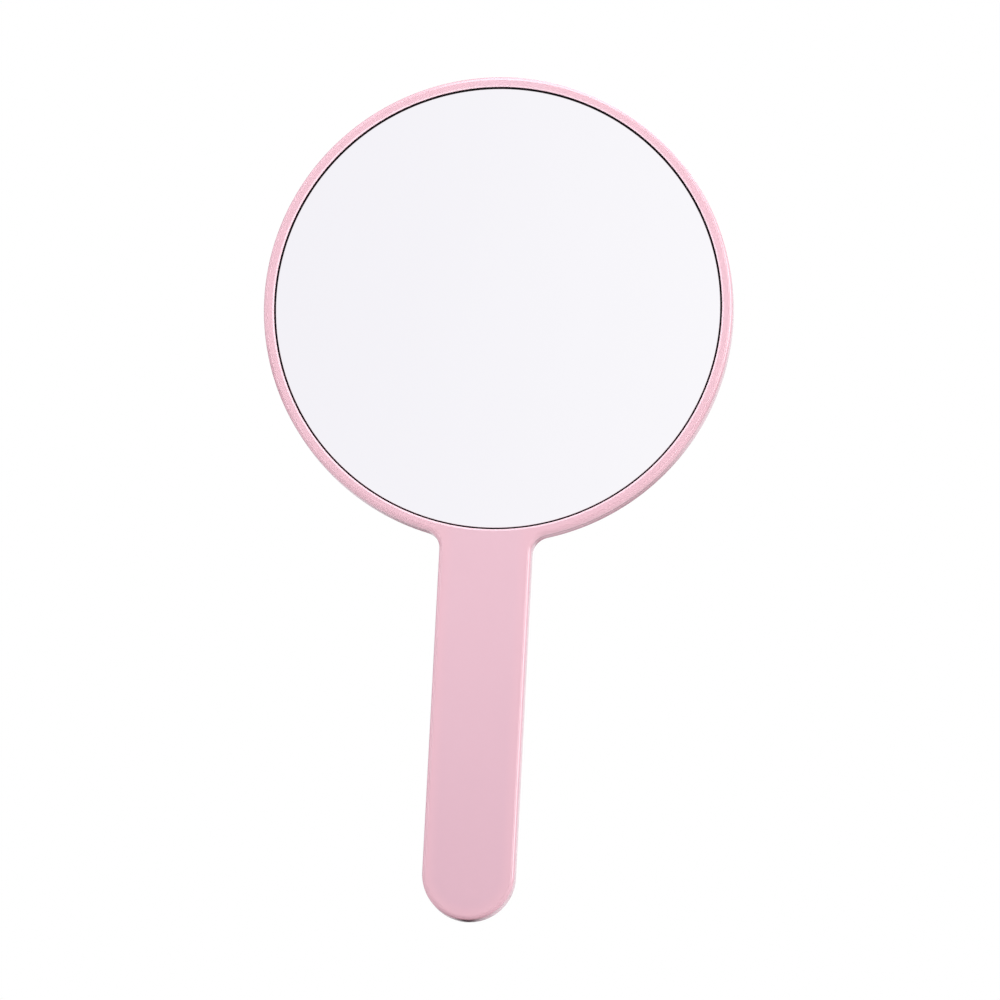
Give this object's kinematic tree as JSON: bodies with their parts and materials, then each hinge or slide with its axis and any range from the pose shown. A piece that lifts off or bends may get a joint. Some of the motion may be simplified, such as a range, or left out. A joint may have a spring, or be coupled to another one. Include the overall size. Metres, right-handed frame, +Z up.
{
  "type": "hand mirror",
  "caption": "Round flat hand mirror with a straight round-ended handle; glass set behind a thin raised rim in a hollow two-shell plastic body.",
  "frame": {"origin": "centre of the round head, on the flat back face", "axes": "+Z up along the handle from its end to the head, +Y out of the back face, so the mirror faces -Y; +X to the right of someone looking into the mirror"},
  "size_m": [0.125, 0.008, 0.226],
  "materials": {
    "shell_plastic": "gloss",
    "glass": "polished",
    "silver": "polished",
    "paint": "matte",
    "foam_tape": "matte",
    "sealant": "matte"
  },
  "bodies": {
    "root": {"front_shell": "shell_plastic", "rear_shell": "shell_plastic", "mirror_glass": "glass", "silver_layer": "silver", "backing_paint": "paint", "tape_ring": "foam_tape", "tape_disc": "foam_tape", "edge_seal": "sealant"}
  },
  "joints": []
}
